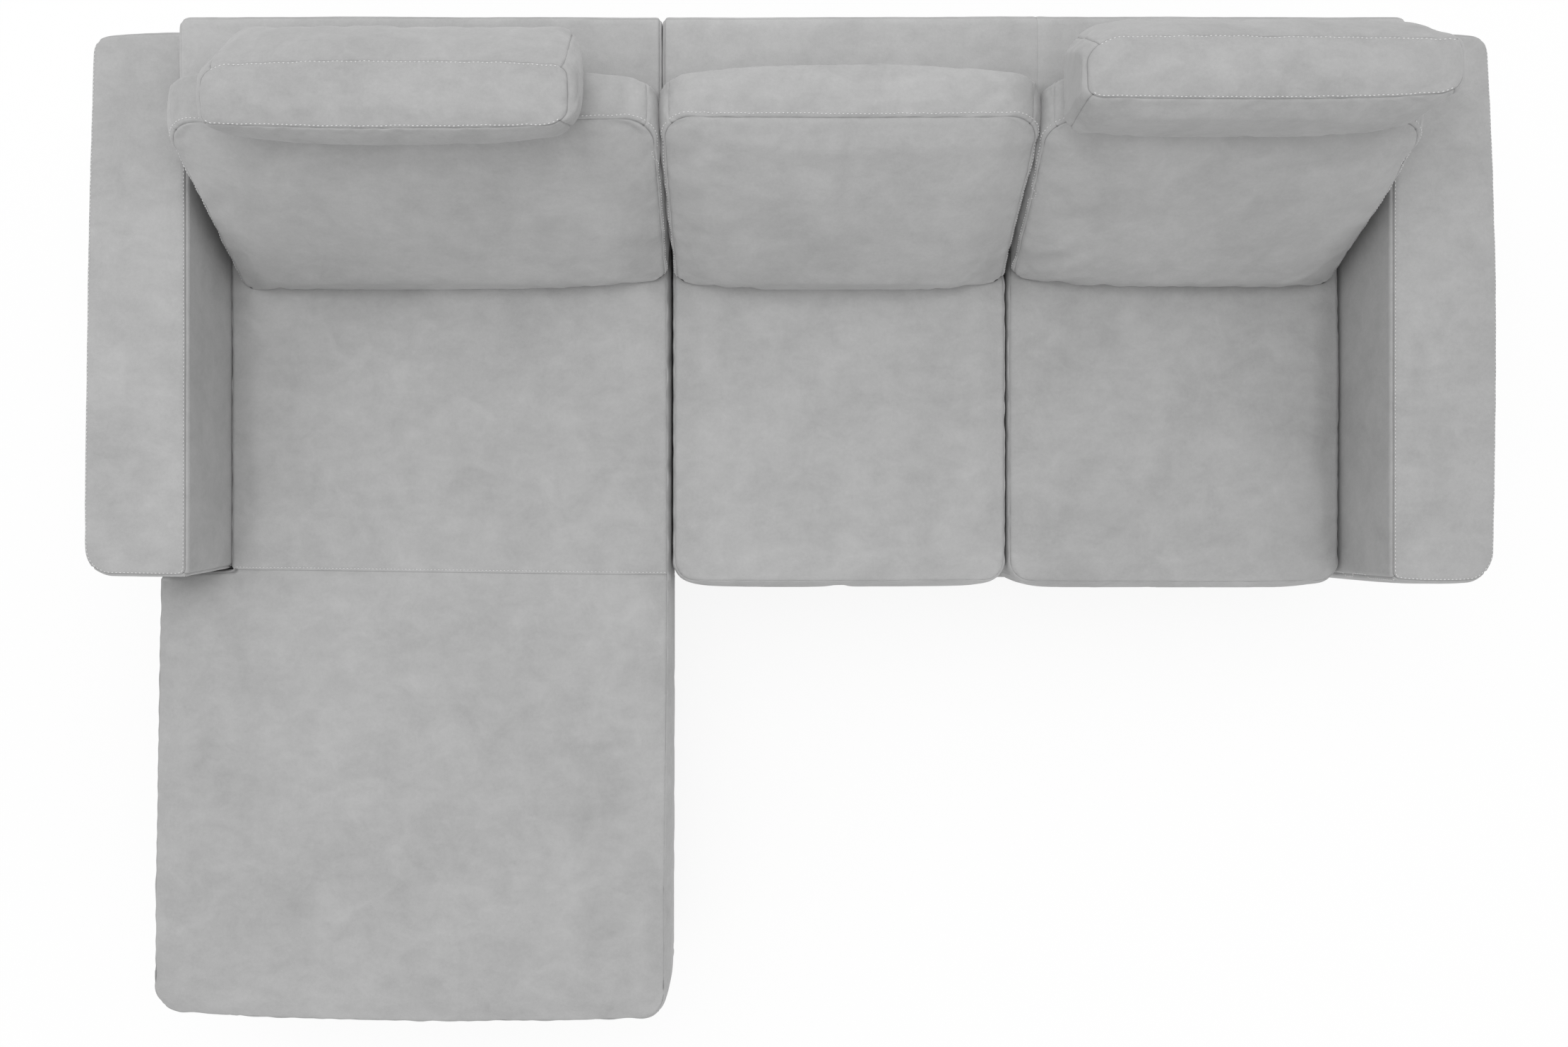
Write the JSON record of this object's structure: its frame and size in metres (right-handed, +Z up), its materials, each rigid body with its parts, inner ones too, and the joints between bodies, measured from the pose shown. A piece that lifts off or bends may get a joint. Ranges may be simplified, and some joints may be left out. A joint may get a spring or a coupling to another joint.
{
  "type": "lounge sofa",
  "caption": "L-shaped lounge sofa with a chaise on the left, loose seat and back cushions and weighted head cushions, in light grey fabric",
  "frame": {"origin": "centre of the plan, on the floor", "axes": "+X across the sofa from the chaise arm to the other arm, +Y to the back, +Z up"},
  "size_m": [2.53, 1.842, 0.9765],
  "materials": {
    "upholstery": "light grey brushed microfibre, matt, faintly mottled",
    "foam": "cut upholstery foam",
    "timber": "sawn and planed softwood, unfinished",
    "hardboard": "hardboard, smooth on one face",
    "spring_steel": "drawn spring wire, oiled",
    "plated_steel": "zinc plated steel",
    "felt": "needled grey felt",
    "lining_cloth": "thin black non-woven lining",
    "stained_wood": "turned wood, dark stain, satin lacquer",
    "black_plastic": "moulded black plastic"
  },
  "bodies": {
    "root": {"left_arm_cover": "upholstery", "right_arm_cover": "upholstery", "left_back_cover": "upholstery", "right_back_cover": "upholstery", "chaise_front_border": "upholstery", "chaise_outer_border": "upholstery", "chaise_inner_border": "upholstery", "seat_front_border": "upholstery", "chaise_front_rail": "timber", "chaise_outer_rail": "timber", "chaise_inner_rail": "timber", "chaise_cross_rail": "timber", "chaise_arm_rail": "timber", "chaise_rear_rail": "timber", "seat_front_rail": "timber", "seat_inner_rail": "timber", "seat_middle_rail": "timber", "seat_arm_rail": "timber", "seat_rear_rail": "timber", "corner_blocks": "timber", "left_arm_frame": "timber", "right_arm_frame": "timber", "left_back_frame": "timber", "right_back_frame": "timber", "arm_panels": "hardboard", "back_panels": "hardboard", "chaise_springs": "spring_steel", "seat_springs": "spring_steel", "spring_clips": "plated_steel", "frame_bolts": "plated_steel", "joining_bolts": "plated_steel", "joining_plates": "plated_steel", "foot_bolts": "plated_steel", "chaise_deck": "felt", "seat_deck": "felt", "chaise_dust_cover": "lining_cloth", "seat_dust_cover": "lining_cloth", "feet": "stained_wood", "foot_glides": "black_plastic"},
    "chaise_cushion": {"chaise_cushion_cover": "upholstery", "chaise_cushion_core": "foam"},
    "middle_seat_cushion": {"middle_seat_cushion_cover": "upholstery", "middle_seat_cushion_core": "foam"},
    "right_seat_cushion": {"right_seat_cushion_cover": "upholstery", "right_seat_cushion_core": "foam"},
    "left_back_cushion": {"left_back_cushion_cover": "upholstery", "left_back_cushion_core": "foam"},
    "middle_back_cushion": {"middle_back_cushion_cover": "upholstery", "middle_back_cushion_core": "foam"},
    "right_back_cushion": {"right_back_cushion_cover": "upholstery", "right_back_cushion_core": "foam"},
    "left_head_cushion": {"left_head_cushion_cover": "upholstery", "left_head_cushion_core": "foam", "left_head_flap": "upholstery", "left_head_weight": "plated_steel"},
    "right_head_cushion": {"right_head_cushion_cover": "upholstery", "right_head_cushion_core": "foam", "right_head_flap": "upholstery", "right_head_weight": "plated_steel"}
  },
  "joints": [
    {"name": "chaise_cushion_lift", "type": "slide", "parent": "root", "child": "chaise_cushion", "axis": [0, 0, 1], "range_m": [0, 0.37]},
    {"name": "middle_seat_cushion_lift", "type": "slide", "parent": "root", "child": "middle_seat_cushion", "axis": [0, 0, 1], "range_m": [0, 0.37]},
    {"name": "right_seat_cushion_lift", "type": "slide", "parent": "root", "child": "right_seat_cushion", "axis": [0, 0, 1], "range_m": [0, 0.37]},
    {"name": "left_back_cushion_lift", "type": "slide", "parent": "chaise_cushion", "child": "left_back_cushion", "axis": [0, 0, 1], "range_m": [0, 0.25]},
    {"name": "middle_back_cushion_lift", "type": "slide", "parent": "middle_seat_cushion", "child": "middle_back_cushion", "axis": [0, 0, 1], "range_m": [0, 0.25]},
    {"name": "right_back_cushion_lift", "type": "slide", "parent": "right_seat_cushion", "child": "right_back_cushion", "axis": [0, 0, 1], "range_m": [0, 0.25]},
    {"name": "left_head_cushion_lift", "type": "slide", "parent": "left_back_cushion", "child": "left_head_cushion", "axis": [0, 0, 1], "range_m": [0, 0.2]},
    {"name": "right_head_cushion_lift", "type": "slide", "parent": "right_back_cushion", "child": "right_head_cushion", "axis": [0, 0, 1], "range_m": [0, 0.2]}
  ]
}
